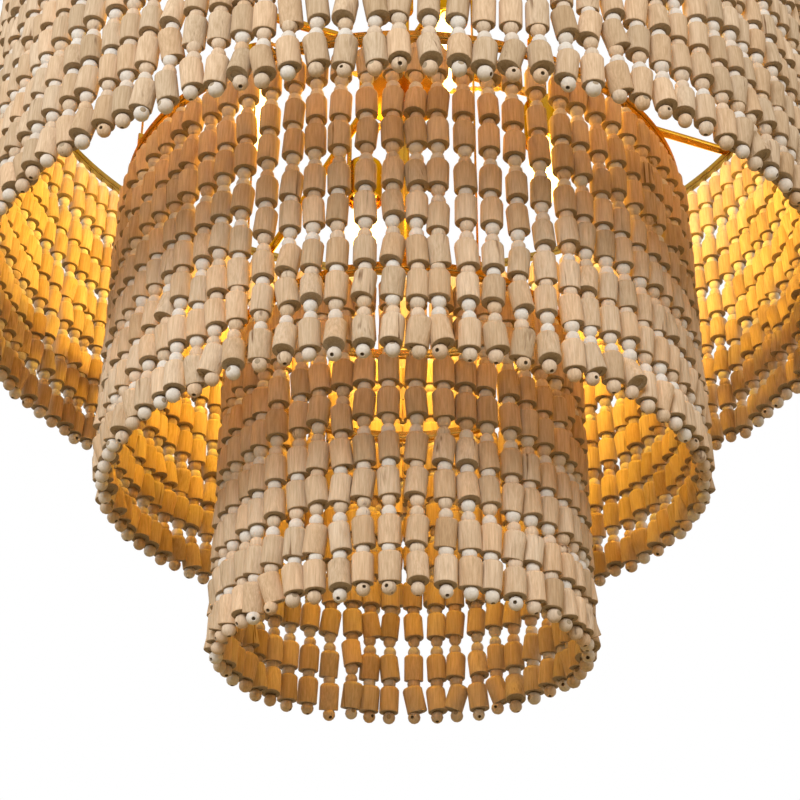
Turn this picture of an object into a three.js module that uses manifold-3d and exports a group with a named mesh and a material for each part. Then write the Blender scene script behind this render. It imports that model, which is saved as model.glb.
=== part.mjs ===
// Beaded chandelier: three hoops hung with strings of turned wooden beads, round four lamps.
// Millimetres, +Z up. The origin is the inner top of the hanging loop, where a hook bears.
import * as THREE from 'three';
import { mergeVertices } from 'three/addons/utils/BufferGeometryUtils.js';
import Module from 'manifold-3d';

const wasm = await Module();
wasm.setup();

// Fits that every piece shares
const FIT_GAP = 0.3; // between pieces that touch
const CUT_OVERRUN = 2; // how far a cutter runs past the face that it opens

// Beads. A string is threaded one ball, bead, two balls, bead, one ball, and so on
const BEAD_RADIUS = 9.1;
const BEAD_HEIGHT = 24.8;
const BALL_RADIUS = 6;
const ONE_BALL_GAP = 6.4; // from one bead to the next, over a ball that is seated in both
const TWO_BALL_GAP = 16.8;
const TOP_BALL_SHOW = 9.5; // from the rail to the first bead
const LAST_BALL_SHOW = 10.8; // from the last bead to the foot of the string
const HOOK_RADIUS = 1.2; // the string's wire where it is hooked into the rail
const HOOK_BITE = 0.6;
// A beaded string is square in section, with the area of the round bead. A plain one is a prism of
// three sides, as wide inside the tier as a bead and with its ridge outwards
const BEADED_STRING = { sides: 4, turn: Math.PI / 4, cornerShare: Math.sqrt(Math.PI / 2) };
const PLAIN_STRING = { sides: 3, turn: Math.PI / 2, cornerShare: 2 / Math.sqrt(3) };

// Hoops and the bead rails under them
const HOOP_WIDTH = 7;
const HOOP_HEIGHT = 6.5;
const RAIL_HEIGHT = 4.2;

// Spokes and hub
const SPOKE_RADIUS = 4.75;
const SPOKE_AXIS_Z = -110;
const SPOKE_AZIMUTH = 24.2;
const SPOKE_SIDES = 8;
const ARM_COUNT = 4; // spokes, lamps and hangers of each tier
const HUB_RADIUS = 21;
const HUB_RISE = 13; // above and below the spokes' axis
const HUB_BORE_DEPTH = 11; // how far a spoke goes into the hub
const HUB_CHAMFER = 2.5;
const HUB_FLANGE_RADIUS = 44;
const HUB_FLANGE_THICKNESS = 2.5;
const HUB_SIDES = 12;

// Hanging loop, its collar and the centre stem
const LOOP_INNER_RADIUS = 11;
const LOOP_WIRE_RADIUS = 2.75;
const LOOP_STEPS = 12;
const LOOP_WIRE_SIDES = 6;
const LOOP_FOOT_RADIUS = 8;
const LOOP_FOOT_HEIGHT = 4;
const LOOP_STUD_RADIUS = 4.5;
const LOOP_STUD_LENGTH = 8;
const COLLAR_RADIUS = 11;
const COLLAR_HEIGHT = 19;
const COLLAR_CHAMFER = 2;
const COLLAR_SIDES = 12;
const STEM_RADIUS = 6.35;
const STEM_SEAT_DEPTH = 11; // into the collar above and into the column below
const STEM_SIDES = 12;

// Wiring cup under the hub
const WIRING_CUP_RADIUS = 45;
const WIRING_CUP_FOOT_RADIUS = 41;
const WIRING_CUP_HEIGHT = 43;
const WIRING_CUP_WALL = 1.4;
const WIRING_CUP_SIDES = 16;

// Column at the foot of the stem, and its thumb screw
const COLUMN_RADIUS = 16.5;
const COLUMN_HEIGHT = 59;
const COLUMN_TOP_Z = -311;
const COLUMN_CHAMFER = 2;
const COLUMN_SIDES = 12;
const SCREW_RADIUS = 6;
const SCREW_HEAD_LENGTH = 6;
const SCREW_SHANK_RADIUS = 2.2;
const SCREW_SHANK_LENGTH = 9;
const SCREW_CHAMFER = 1;
const SCREW_RISE = 8; // above the foot of the column
const SCREW_AZIMUTH = -52;
const SCREW_SIDES = 8;

// Lamps: cup, bracket, lampholder, bulb and lead
const LAMP_CIRCLE_RADIUS = 151;
const LAMP_AZIMUTH = 16;
const CUP_RADIUS = 18.75;
const CUP_HEIGHT = 51;
const CUP_TOP_Z = -142;
const CUP_WALL = 1.5;
const CUP_SHOULDER = 4;
const CUP_SIDES = 10;
const BRACKET_WIDTH = 9;
const BRACKET_THICKNESS = 3.5;
const BRACKET_INSET = 3; // how far the bracket's centre lies inside the lamp circle
const BRACKET_BITE = 1.6; // how deep the bracket is let into the cup
const BRACKET_FOOT_RISE = 12; // from the cup's mouth to the bracket's foot
const HOLDER_RADIUS = 13.5;
const HOLDER_HEIGHT = 40;
const HOLDER_BORE_RADIUS = 7.3;
const HOLDER_BORE_DEPTH = 25;
const HOLDER_SHOULDER = 3.65;
const HOLDER_SIDES = 8;
const BULB_BASE_RADIUS = 6.5;
const BULB_BASE_LENGTH = 23;
const BULB_GLASS_RADIUS = 16.5;
const BULB_GLASS_LENGTH = 92;
const BULB_SIDES = 8;
const LEAD_RADIUS = 3;
const LEAD_SIDES = 6;
const LEAD_STEPS = 9;
const LEAD_EXIT_DROP = 20; // from the hub's flange to the lead's hole
const LEAD_ARCH_RISE = 16; // from the cup's top to the crown of the lead
const LEAD_START_DEPTH = 6; // how far the lead reaches into the wiring cup

// Straight wires with a flat tab at each end, which hang the two lower hoops from the spokes
const HANGER_WIRE_RADIUS = 1;
const HANGER_WIRE_SIDES = 6;
const TAB_LENGTH = 14;
const TAB_WIDTH = 6;
const TAB_THICKNESS = 3;

// Radius is that of the circle of strings, drop is from the spokes' axis to the hoop's top
const HOOP_1_RADIUS = 397;
const HOOP_2_RADIUS = 266.5;
const HOOP_3_RADIUS = 158;
const HOOP_1_DROP = SPOKE_RADIUS + FIT_GAP;
const HOOP_2_DROP = 200.7;
const HOOP_3_DROP = 360.6;
const TIERS = [
  {
    radius: HOOP_1_RADIUS,
    drop: HOOP_1_DROP,
    strings: 120,
    groups: 8,
    beads: 9,
    lowestGapBalls: 2,
    hoopSides: 48,
  },
  {
    radius: HOOP_2_RADIUS,
    drop: HOOP_2_DROP,
    strings: 80,
    groups: 8,
    beads: 8,
    lowestGapBalls: 2,
    hoopSides: 32,
  },
  {
    radius: HOOP_3_RADIUS,
    drop: HOOP_3_DROP,
    strings: 48,
    groups: 6,
    beads: 8,
    lowestGapBalls: 1,
    hoopSides: 24,
  },
];
const STEPS_PER_ARC_SEGMENT = 2; // a shape's arc gets two steps for each of its segments
const BEADED_TIER = 3; // the tier whose strings show their beads in the solids

const brass = { color: 0xb8842c, roughness: 0.28, metalness: 1 };
const wood = { color: 0xcdb591, roughness: 0.75, metalness: 0 };
const porcelain = { color: 0xe6e0d2, roughness: 0.4, metalness: 0 };
const glass = { color: 0xffe2a8, roughness: 0.05, metalness: 0, transparent: true, opacity: 0.35 };
const lampCord = { color: 0xb98f3a, roughness: 0.6, metalness: 0 };

const chandelier = new THREE.Group();

function addPiece(name, geometry, finish) {
  const piece = new THREE.Mesh(geometry, new THREE.MeshStandardMaterial(finish));
  piece.name = name;
  chandelier.add(piece);
}

// Closed geometry to solid, with shared corners merged and slivers at the poles dropped
function toSolid(geometry) {
  const bare = geometry.clone();
  bare.deleteAttribute('normal');
  bare.deleteAttribute('uv');
  const merged = mergeVertices(bare);
  const corners = Array.from(merged.index.array);
  const kept = [];
  for (let i = 0; i < corners.length; i += 3) {
    const [a, b, c] = corners.slice(i, i + 3);
    if (a !== b && b !== c && c !== a) kept.push(a, b, c);
  }
  return new wasm.Manifold(new wasm.Mesh({
    numProp: 3,
    vertProperties: new Float32Array(merged.attributes.position.array),
    triVerts: new Uint32Array(kept),
  }));
}

function toGeometry(solid) {
  const mesh = solid.getMesh();
  const geometry = new THREE.BufferGeometry();
  geometry.setAttribute('position', new THREE.BufferAttribute(mesh.vertProperties, 3));
  geometry.setIndex(new THREE.BufferAttribute(mesh.triVerts, 1));
  geometry.computeVertexNormals();
  return geometry;
}

// Turned form about Z from [radius, height] points, which run upwards on the outside
function turned(profile, sides, startAngle = 0) {
  const points = profile.map(([radius, height]) => new THREE.Vector2(radius, height));
  const geometry = new THREE.LatheGeometry(points, sides, startAngle);
  geometry.rotateX(Math.PI / 2);
  return toSolid(geometry);
}

function turnedRing(inner, outer, bottom, top, sides) {
  return turned([[inner, bottom], [outer, bottom], [outer, top], [inner, top], [inner, bottom]], sides);
}

function turnedPlug(radius, bottom, top, sides) {
  return turned([[0, bottom], [radius, bottom], [radius, top], [0, top]], sides);
}

// Round bar along X from one place to another, with a flat on top and below
function barAlongX(radius, from, to, sides) {
  const geometry = new THREE.CylinderGeometry(radius, radius, to - from, sides);
  geometry.rotateZ(-Math.PI / 2);
  geometry.rotateX(Math.PI / sides);
  geometry.translate((from + to) / 2, 0, 0);
  return toSolid(geometry);
}

function block(sizeX, sizeY, sizeZ, x, y, z) {
  return toSolid(new THREE.BoxGeometry(sizeX, sizeY, sizeZ).translate(x, y, z));
}

function turnAboutZ(solid, degrees) {
  return solid.rotate([0, 0, degrees]);
}

function armAngle(first, index) {
  return first + (index * 360) / ARM_COUNT;
}

// Loop, collar and stem
const loopCentreZ = -LOOP_INNER_RADIUS;
const loopPathRadius = LOOP_INNER_RADIUS + LOOP_WIRE_RADIUS;
const loopBottomZ = loopCentreZ - loopPathRadius - LOOP_WIRE_RADIUS;
const loopFootTopZ = loopCentreZ - loopPathRadius;
const collarTopZ = loopFootTopZ - LOOP_FOOT_HEIGHT - LOOP_WIRE_RADIUS - FIT_GAP;
const collarBottomZ = collarTopZ - COLLAR_HEIGHT;
const stemTopZ = collarBottomZ + STEM_SEAT_DEPTH;
const stemBottomZ = COLUMN_TOP_Z - STEM_SEAT_DEPTH;

function makeHangLoop() {
  const ring = new THREE.TorusGeometry(loopPathRadius, LOOP_WIRE_RADIUS, LOOP_WIRE_SIDES, LOOP_STEPS);
  ring.rotateX(Math.PI / 2);
  ring.rotateY(Math.PI / 2);
  ring.translate(0, 0, loopCentreZ);
  const footBottomZ = collarTopZ + FIT_GAP;
  const foot = turned([
    [0, footBottomZ - LOOP_STUD_LENGTH],
    [LOOP_STUD_RADIUS, footBottomZ - LOOP_STUD_LENGTH],
    [LOOP_STUD_RADIUS, footBottomZ],
    [LOOP_FOOT_RADIUS, footBottomZ],
    [LOOP_FOOT_RADIUS, footBottomZ + LOOP_FOOT_HEIGHT],
    [0, loopFootTopZ],
  ], COLLAR_SIDES);
  addPiece('hang_loop', toGeometry(toSolid(ring).add(foot)), brass);
}

function makeLoopCollar() {
  const studBore = LOOP_STUD_RADIUS + FIT_GAP;
  const stemBore = STEM_RADIUS + FIT_GAP;
  const shelfZ = stemTopZ + FIT_GAP;
  const collar = turned([
    [stemBore, collarBottomZ],
    [COLLAR_RADIUS - COLLAR_CHAMFER, collarBottomZ],
    [COLLAR_RADIUS, collarBottomZ + COLLAR_CHAMFER],
    [COLLAR_RADIUS, collarTopZ - COLLAR_CHAMFER],
    [COLLAR_RADIUS - COLLAR_CHAMFER, collarTopZ],
    [studBore, collarTopZ],
    [studBore, shelfZ],
    [stemBore, shelfZ],
    [stemBore, collarBottomZ],
  ], COLLAR_SIDES);
  addPiece('loop_collar', toGeometry(collar), brass);
}

function makeCenterStem() {
  const stem = turnedPlug(STEM_RADIUS, stemBottomZ, stemTopZ, STEM_SIDES);
  addPiece('center_stem', toGeometry(stem), brass);
}

// Hub with its flange, and the spokes let into it
const hubTopZ = SPOKE_AXIS_Z + HUB_RISE;
const flangeBottomZ = SPOKE_AXIS_Z - HUB_RISE - HUB_FLANGE_THICKNESS;
const spokeInnerRadius = HUB_RADIUS - HUB_BORE_DEPTH;

function makeSpokeHub() {
  const stemBore = STEM_RADIUS + FIT_GAP;
  const flangeTopZ = flangeBottomZ + HUB_FLANGE_THICKNESS;
  let hub = turned([
    [stemBore, flangeBottomZ],
    [HUB_FLANGE_RADIUS, flangeBottomZ],
    [HUB_FLANGE_RADIUS, flangeTopZ],
    [HUB_RADIUS, flangeTopZ],
    [HUB_RADIUS, hubTopZ - HUB_CHAMFER],
    [HUB_RADIUS - HUB_CHAMFER, hubTopZ],
    [stemBore, hubTopZ],
    [stemBore, flangeBottomZ],
  ], HUB_SIDES);
  for (let i = 0; i < ARM_COUNT; i += 1) {
    const hole = barAlongX(SPOKE_RADIUS + FIT_GAP, spokeInnerRadius, HUB_RADIUS + CUT_OVERRUN, SPOKE_SIDES);
    hub = hub.subtract(turnAboutZ(hole.translate([0, 0, SPOKE_AXIS_Z]), armAngle(SPOKE_AZIMUTH, i)));
  }
  addPiece('spoke_hub', toGeometry(hub), brass);
}

function makeSpokes() {
  const tipRadius = TIERS[0].radius + HOOP_WIDTH / 2;
  for (let i = 0; i < ARM_COUNT; i += 1) {
    const spoke = barAlongX(SPOKE_RADIUS, spokeInnerRadius + FIT_GAP, tipRadius, SPOKE_SIDES);
    const placed = turnAboutZ(spoke.translate([0, 0, SPOKE_AXIS_Z]), armAngle(SPOKE_AZIMUTH, i));
    addPiece(`spoke_${i + 1}`, toGeometry(placed), brass);
  }
}

// Spun cup that hides the joints of the lamp leads
const wiringCupTopZ = flangeBottomZ - FIT_GAP;
const wiringCupBottomZ = wiringCupTopZ - WIRING_CUP_HEIGHT;
const leadExitZ = flangeBottomZ - LEAD_EXIT_DROP;

function makeWiringCup() {
  const stemBore = STEM_RADIUS + FIT_GAP;
  let cup = turned([
    [stemBore, wiringCupBottomZ],
    [WIRING_CUP_FOOT_RADIUS, wiringCupBottomZ],
    [WIRING_CUP_RADIUS, wiringCupBottomZ + WIRING_CUP_RADIUS - WIRING_CUP_FOOT_RADIUS],
    [WIRING_CUP_RADIUS, wiringCupTopZ],
    [WIRING_CUP_RADIUS - WIRING_CUP_WALL, wiringCupTopZ],
    [WIRING_CUP_RADIUS - WIRING_CUP_WALL, wiringCupBottomZ + WIRING_CUP_RADIUS - WIRING_CUP_FOOT_RADIUS],
    [WIRING_CUP_FOOT_RADIUS - WIRING_CUP_WALL, wiringCupBottomZ + WIRING_CUP_WALL],
    [stemBore, wiringCupBottomZ + WIRING_CUP_WALL],
    [stemBore, wiringCupBottomZ],
  ], WIRING_CUP_SIDES);
  const holeStart = WIRING_CUP_RADIUS - WIRING_CUP_WALL - CUT_OVERRUN;
  const holeRadius = (LEAD_RADIUS + FIT_GAP) / Math.cos(Math.PI / LEAD_SIDES);
  for (let i = 0; i < ARM_COUNT; i += 1) {
    const hole = barAlongX(holeRadius, holeStart, WIRING_CUP_RADIUS + CUT_OVERRUN, LEAD_SIDES);
    cup = cup.subtract(turnAboutZ(hole.translate([0, 0, leadExitZ]), armAngle(LAMP_AZIMUTH, i)));
  }
  addPiece('wiring_cup', toGeometry(cup), brass);
}

// Column on the foot of the stem, with the screw that pinches it there
const columnBottomZ = COLUMN_TOP_Z - COLUMN_HEIGHT;
const screwZ = columnBottomZ + SCREW_RISE;

function makeLowerColumn() {
  const stemBore = STEM_RADIUS + FIT_GAP;
  const boreFloorZ = stemBottomZ - FIT_GAP;
  const body = turned([
    [0, columnBottomZ],
    [COLUMN_RADIUS - COLUMN_CHAMFER, columnBottomZ],
    [COLUMN_RADIUS, columnBottomZ + COLUMN_CHAMFER],
    [COLUMN_RADIUS, COLUMN_TOP_Z - COLUMN_CHAMFER],
    [COLUMN_RADIUS - COLUMN_CHAMFER, COLUMN_TOP_Z],
    [stemBore, COLUMN_TOP_Z],
    [stemBore, boreFloorZ],
    [0, boreFloorZ],
  ], COLUMN_SIDES);
  const boreStart = COLUMN_RADIUS - SCREW_SHANK_LENGTH - FIT_GAP;
  const boreRadius = (SCREW_SHANK_RADIUS + FIT_GAP) / Math.cos(Math.PI / SCREW_SIDES);
  const bore = barAlongX(boreRadius, boreStart, COLUMN_RADIUS + CUT_OVERRUN, SCREW_SIDES);
  const column = body.subtract(turnAboutZ(bore.translate([0, 0, screwZ]), SCREW_AZIMUTH));
  addPiece('lower_column', toGeometry(column), brass);
}

function makeThumbScrew() {
  const headStart = COLUMN_RADIUS + FIT_GAP;
  const screw = turned([
    [0, COLUMN_RADIUS - SCREW_SHANK_LENGTH],
    [SCREW_SHANK_RADIUS, COLUMN_RADIUS - SCREW_SHANK_LENGTH],
    [SCREW_SHANK_RADIUS, headStart],
    [SCREW_RADIUS, headStart],
    [SCREW_RADIUS, headStart + SCREW_HEAD_LENGTH - SCREW_CHAMFER],
    [SCREW_RADIUS - SCREW_CHAMFER, headStart + SCREW_HEAD_LENGTH],
    [0, headStart + SCREW_HEAD_LENGTH],
  ], SCREW_SIDES);
  const placed = turnAboutZ(screw.rotate([0, 90, 0]).translate([0, 0, screwZ]), SCREW_AZIMUTH);
  addPiece('column_thumb_screw', toGeometry(placed), brass);
}

// Hoops
function makeHoop(tier, number) {
  const topZ = SPOKE_AXIS_Z - tier.drop;
  const inner = tier.radius - HOOP_WIDTH / 2;
  const hoop = turnedRing(inner, inner + HOOP_WIDTH, topZ - HOOP_HEIGHT, topZ, tier.hoopSides);
  addPiece(`hoop_${number}`, toGeometry(hoop), brass);
}

// Hangers run from under the spokes to the top of the hoop of their tier
function makeHangers(tier, number) {
  const topZ = SPOKE_AXIS_Z - SPOKE_RADIUS * Math.cos(Math.PI / SPOKE_SIDES) - FIT_GAP;
  const bottomZ = SPOKE_AXIS_Z - tier.drop + FIT_GAP;
  const upperTabZ = topZ - TAB_LENGTH / 2;
  const lowerTabZ = bottomZ + TAB_LENGTH / 2;
  const wire = turnedPlug(HANGER_WIRE_RADIUS, lowerTabZ, upperTabZ, HANGER_WIRE_SIDES);
  const upperTab = block(TAB_WIDTH, TAB_THICKNESS, TAB_LENGTH, 0, 0, upperTabZ);
  const lowerTab = block(TAB_WIDTH, TAB_THICKNESS, TAB_LENGTH, 0, 0, lowerTabZ);
  const hanger = wire.add(upperTab).add(lowerTab);
  for (let i = 0; i < ARM_COUNT; i += 1) {
    const placed = turnAboutZ(hanger.translate([tier.radius, 0, 0]), armAngle(SPOKE_AZIMUTH, i));
    addPiece(`tier_${number}_hanger_${i + 1}`, toGeometry(placed), brass);
  }
}

// Lamps. Each is made on the X axis and then turned to its place
const cupBottomZ = CUP_TOP_Z - CUP_HEIGHT;
const holderTopZ = CUP_TOP_Z - CUP_WALL - FIT_GAP;
const holderBottomZ = holderTopZ - HOLDER_HEIGHT;

function makeSocketCup() {
  const leadHole = LEAD_RADIUS + FIT_GAP;
  const boreRadius = CUP_RADIUS - CUP_WALL;
  const boreTopZ = CUP_TOP_Z - CUP_SHOULDER - CUP_WALL;
  const cup = turned([
    [leadHole, CUP_TOP_Z - CUP_WALL],
    [boreRadius - CUP_SHOULDER, CUP_TOP_Z - CUP_WALL],
    [boreRadius, boreTopZ],
    [boreRadius, cupBottomZ],
    [CUP_RADIUS, cupBottomZ],
    [CUP_RADIUS, CUP_TOP_Z - CUP_SHOULDER],
    [CUP_RADIUS - CUP_SHOULDER, CUP_TOP_Z],
    [leadHole, CUP_TOP_Z],
    [leadHole, CUP_TOP_Z - CUP_WALL],
  ], CUP_SIDES);
  const bracketTopZ = SPOKE_AXIS_Z - SPOKE_RADIUS - FIT_GAP;
  const bracketBottomZ = cupBottomZ + BRACKET_FOOT_RISE;
  const bracketY = CUP_RADIUS + BRACKET_THICKNESS / 2 - BRACKET_BITE;
  const bracket = block(
    BRACKET_WIDTH,
    BRACKET_THICKNESS,
    bracketTopZ - bracketBottomZ,
    -BRACKET_INSET,
    bracketY,
    (bracketTopZ + bracketBottomZ) / 2,
  );
  const bore = turnedPlug(boreRadius, cupBottomZ, boreTopZ, CUP_SIDES);
  return cup.add(bracket.subtract(bore));
}

function makeLampholder() {
  return turned([
    [0, holderBottomZ + HOLDER_BORE_DEPTH],
    [HOLDER_BORE_RADIUS, holderBottomZ + HOLDER_BORE_DEPTH],
    [HOLDER_BORE_RADIUS, holderBottomZ],
    [HOLDER_RADIUS, holderBottomZ],
    [HOLDER_RADIUS, holderTopZ - HOLDER_SHOULDER],
    [HOLDER_RADIUS - HOLDER_SHOULDER, holderTopZ],
    [0, holderTopZ],
  ], HOLDER_SIDES);
}

// Candle bulb: screw base, then glass whose outline is given as shares of its radius and length
function makeBulb() {
  const glassOutlineShares = [[0.4, 0.02], [0.72, 0.2], [1, 0.4], [0.86, 0.66], [0.4, 0.9]];
  const baseTopZ = holderBottomZ + BULB_BASE_LENGTH;
  const tipZ = holderBottomZ - BULB_GLASS_LENGTH;
  const glassPoints = glassOutlineShares.map(([radiusShare, dropShare]) => [
    BULB_GLASS_RADIUS * radiusShare,
    holderBottomZ - BULB_GLASS_LENGTH * dropShare,
  ]);
  return turned([
    [0, tipZ],
    ...glassPoints.reverse(),
    [BULB_BASE_RADIUS, baseTopZ],
    [0, baseTopZ],
  ], BULB_SIDES);
}

// Lead from inside the wiring cup, up over the lamp and down into its cup
function makeLampLead() {
  const startX = WIRING_CUP_RADIUS - LEAD_START_DEPTH;
  const crownZ = CUP_TOP_Z + LEAD_ARCH_RISE;
  const thirdOfSpan = (LAMP_CIRCLE_RADIUS - WIRING_CUP_RADIUS) / 3;
  const route = new THREE.CatmullRomCurve3([
    new THREE.Vector3(startX, 0, leadExitZ),
    new THREE.Vector3(WIRING_CUP_RADIUS, 0, leadExitZ),
    new THREE.Vector3(WIRING_CUP_RADIUS + 2 * LEAD_RADIUS, 0, leadExitZ),
    new THREE.Vector3(WIRING_CUP_RADIUS + thirdOfSpan, 0, (leadExitZ + crownZ) / 2),
    new THREE.Vector3(WIRING_CUP_RADIUS + 2 * thirdOfSpan, 0, crownZ - LEAD_RADIUS),
    new THREE.Vector3(LAMP_CIRCLE_RADIUS - LEAD_RADIUS, 0, crownZ - LEAD_RADIUS),
    new THREE.Vector3(LAMP_CIRCLE_RADIUS, 0, CUP_TOP_Z + LEAD_RADIUS),
    new THREE.Vector3(LAMP_CIRCLE_RADIUS, 0, holderTopZ + FIT_GAP),
  ]);
  const section = new THREE.Shape(circlePoints(LEAD_RADIUS, LEAD_SIDES));
  const options = { steps: LEAD_STEPS, extrudePath: route, bevelEnabled: false };
  return toSolid(new THREE.ExtrudeGeometry(section, options));
}

function circlePoints(radius, count) {
  return Array.from({ length: count }, (_, i) => {
    const angle = (i * 2 * Math.PI) / count;
    return new THREE.Vector2(radius * Math.cos(angle), radius * Math.sin(angle));
  });
}

function makeLamps() {
  const lampPieces = [
    ['socket_cup', makeSocketCup().translate([LAMP_CIRCLE_RADIUS, 0, 0]), brass],
    ['lampholder', makeLampholder().translate([LAMP_CIRCLE_RADIUS, 0, 0]), porcelain],
    ['bulb', makeBulb().translate([LAMP_CIRCLE_RADIUS, 0, 0]), glass],
    ['lamp_lead', makeLampLead(), lampCord],
  ];
  for (const [name, solid, finish] of lampPieces) {
    for (let i = 0; i < ARM_COUNT; i += 1) {
      addPiece(`${name}_${i + 1}`, toGeometry(turnAboutZ(solid, armAngle(LAMP_AZIMUTH, i))), finish);
    }
  }
}

// Gaps between the beads of a string, from its foot up: one ball and two balls by turns
function gapHeights(tier) {
  const pair = tier.lowestGapBalls === 2 ? [TWO_BALL_GAP, ONE_BALL_GAP] : [ONE_BALL_GAP, TWO_BALL_GAP];
  return Array.from({ length: tier.beads - 1 }, (_, i) => pair[i % pair.length]);
}

// Outline of one string from its foot up to inside the rail. Plain strings are one long bead
function stringProfile(tier, railBottomZ, form) {
  const bodyRadius = BEAD_RADIUS * form.cornerShare;
  const ballRadius = BALL_RADIUS * form.cornerShare;
  const gaps = gapHeights(tier);
  const gapTotal = gaps.reduce((sum, gap) => sum + gap, 0);
  const firstBeadTopZ = railBottomZ - TOP_BALL_SHOW;
  const lastBeadBottomZ = firstBeadTopZ - tier.beads * BEAD_HEIGHT - gapTotal;
  const profile = [[0, lastBeadBottomZ - LAST_BALL_SHOW], [bodyRadius, lastBeadBottomZ]];
  if (form === BEADED_STRING) {
    let beadBottomZ = lastBeadBottomZ;
    for (const gap of gaps) {
      const beadTopZ = beadBottomZ + BEAD_HEIGHT;
      beadBottomZ = beadTopZ + gap;
      profile.push([ballRadius, beadTopZ], [bodyRadius, beadBottomZ]);
    }
    profile.push([ballRadius, firstBeadTopZ]);
  } else {
    profile.push([bodyRadius, firstBeadTopZ]);
  }
  const hookTopZ = railBottomZ + HOOK_BITE;
  profile.push([HOOK_RADIUS, hookTopZ], [0, hookTopZ]);
  return profile;
}

function makeRail(tier, railBottomZ) {
  const halfArc = Math.PI / tier.groups - FIT_GAP / 2 / tier.radius;
  const inner = tier.radius - HOOP_WIDTH / 2;
  const outline = new THREE.Shape();
  outline.absarc(0, 0, inner + HOOP_WIDTH, -halfArc, halfArc, false);
  outline.absarc(0, 0, inner, halfArc, -halfArc, true);
  const curveSegments = tier.hoopSides / tier.groups / STEPS_PER_ARC_SEGMENT;
  const options = { depth: RAIL_HEIGHT, curveSegments, bevelEnabled: false };
  const rail = new THREE.ExtrudeGeometry(outline, options);
  return toSolid(rail.translate(0, 0, railBottomZ));
}

// A length of bead rail with the strings that hang from it
function makeStringGroups(tier, number) {
  const railBottomZ = SPOKE_AXIS_Z - tier.drop - HOOP_HEIGHT - FIT_GAP - RAIL_HEIGHT;
  const perGroup = tier.strings / tier.groups;
  const pitch = 360 / tier.strings;
  const form = number === BEADED_TIER ? BEADED_STRING : PLAIN_STRING;
  const profile = stringProfile(tier, railBottomZ, form);
  const oneString = turned(profile, form.sides, form.turn).translate([tier.radius, 0, 0]);
  let group = makeRail(tier, railBottomZ);
  for (let i = 0; i < perGroup; i += 1) {
    group = group.add(turnAboutZ(oneString, (i + 0.5 - perGroup / 2) * pitch));
  }
  for (let i = 0; i < tier.groups; i += 1) {
    const placed = turnAboutZ(group, (i * 360) / tier.groups);
    addPiece(`tier_${number}_strings_${i + 1}`, toGeometry(placed), wood);
  }
}

makeHangLoop();
makeLoopCollar();
makeCenterStem();
makeSpokeHub();
makeSpokes();
makeWiringCup();
makeLowerColumn();
makeThumbScrew();
makeLamps();
TIERS.forEach((tier, index) => {
  const number = index + 1;
  makeHoop(tier, number);
  if (number > 1) makeHangers(tier, number);
  makeStringGroups(tier, number);
});

export default chandelier;
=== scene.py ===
import math
import random

import bpy
from mathutils import Matrix, Vector


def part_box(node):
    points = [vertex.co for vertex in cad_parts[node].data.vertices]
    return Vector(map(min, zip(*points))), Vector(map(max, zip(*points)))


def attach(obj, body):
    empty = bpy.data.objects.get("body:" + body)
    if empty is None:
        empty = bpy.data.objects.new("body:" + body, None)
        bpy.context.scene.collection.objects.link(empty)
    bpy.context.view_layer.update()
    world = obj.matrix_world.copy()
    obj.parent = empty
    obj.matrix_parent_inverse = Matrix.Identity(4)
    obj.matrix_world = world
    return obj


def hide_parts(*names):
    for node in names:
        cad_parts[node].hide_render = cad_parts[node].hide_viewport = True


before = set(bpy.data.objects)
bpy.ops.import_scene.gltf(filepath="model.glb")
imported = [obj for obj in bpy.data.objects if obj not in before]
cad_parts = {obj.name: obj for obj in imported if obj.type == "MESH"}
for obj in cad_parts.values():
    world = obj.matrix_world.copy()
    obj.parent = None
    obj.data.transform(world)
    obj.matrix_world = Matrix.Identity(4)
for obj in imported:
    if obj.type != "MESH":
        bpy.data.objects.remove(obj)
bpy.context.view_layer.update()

MM = 0.001
POINT_RADIUS = 0.001 * MM  # a turned outline that meets the axis starts or ends at this radius
MERGE_DISTANCE = 0.003 * MM
SMOOTH_ANGLE = math.radians(38)

# Beads and balls
BEAD_RADIUS = 9.1 * MM
BEAD_HEIGHT = 24.8 * MM
BEAD_SIDES = 16
BEAD_MOUTH_RADIUS = 5 * MM
BEAD_MOUTH_DEPTH = 0.9 * MM
BALL_RADIUS = 6 * MM
BALL_SIDES = 12
BALL_SEAT = 2.8 * MM  # how deep a ball sits in the mouth of a bead
ONE_BALL_GAP = 6.4 * MM
TWO_BALL_GAP = 16.8 * MM
TOP_BALL_SHOW = 9.5 * MM  # from the rail to the first bead
LAST_BALL_SHOW = 10.8 * MM
TOP_BALL_RISE = 2.4 * MM  # from the first bead's top to the middle of the ball on it
DRILL_RADIUS = 1.6 * MM
SHOULDER_CURVE = [(0.955, 0.40), (0.83, 0.79)]  # shares of the bead's radius and of the shoulder's height

# How the strings differ, drawn from one seed for each tier
STRING_SEED = 40
SWAPPED_GAPS_SHARE = 0.15  # of the strings
STRETCH_LIMITS = (-0.006, 0.008)
BEAD_SIZE_LIMITS = (0.97, 1.025)
BALL_SIZE_LIMITS = (0.95, 1.04)
BEAD_TONE = (0.62, 0.24)  # middle and spread, from dark 0 to pale 1
BALL_TONE_LIMITS = (0.75, 1.0)
WHITE_BALL_SHARE = 0.5
WHITE_PAINT_LIMITS = (0.6, 0.95)
THIN_PAINT_LIMITS = (0.0, 0.3)
# How a string hangs out of true: limits in millimetres, outwards or inwards and to the side
LEAN_LIMITS = (1.6, 1.3)
BOW_LIMITS = (1.1, 0.8)
PART_SHIFT_LIMIT = 0.4
# A bead's tilt in degrees, as a spread at the top of its string and what the foot adds to it
SWAY_SPREAD = (2.6, 6.4)
NOD_SPREAD = (2.7, 5.6)
# Where a last ball's hole points, in radians from straight up: outwards, down or inwards
HOLE_TURN_LIMITS = (1.4, 4.8)
CROWDING_LIMIT = 0.07  # how far two strings push each other aside, as a share of their pitch

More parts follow.
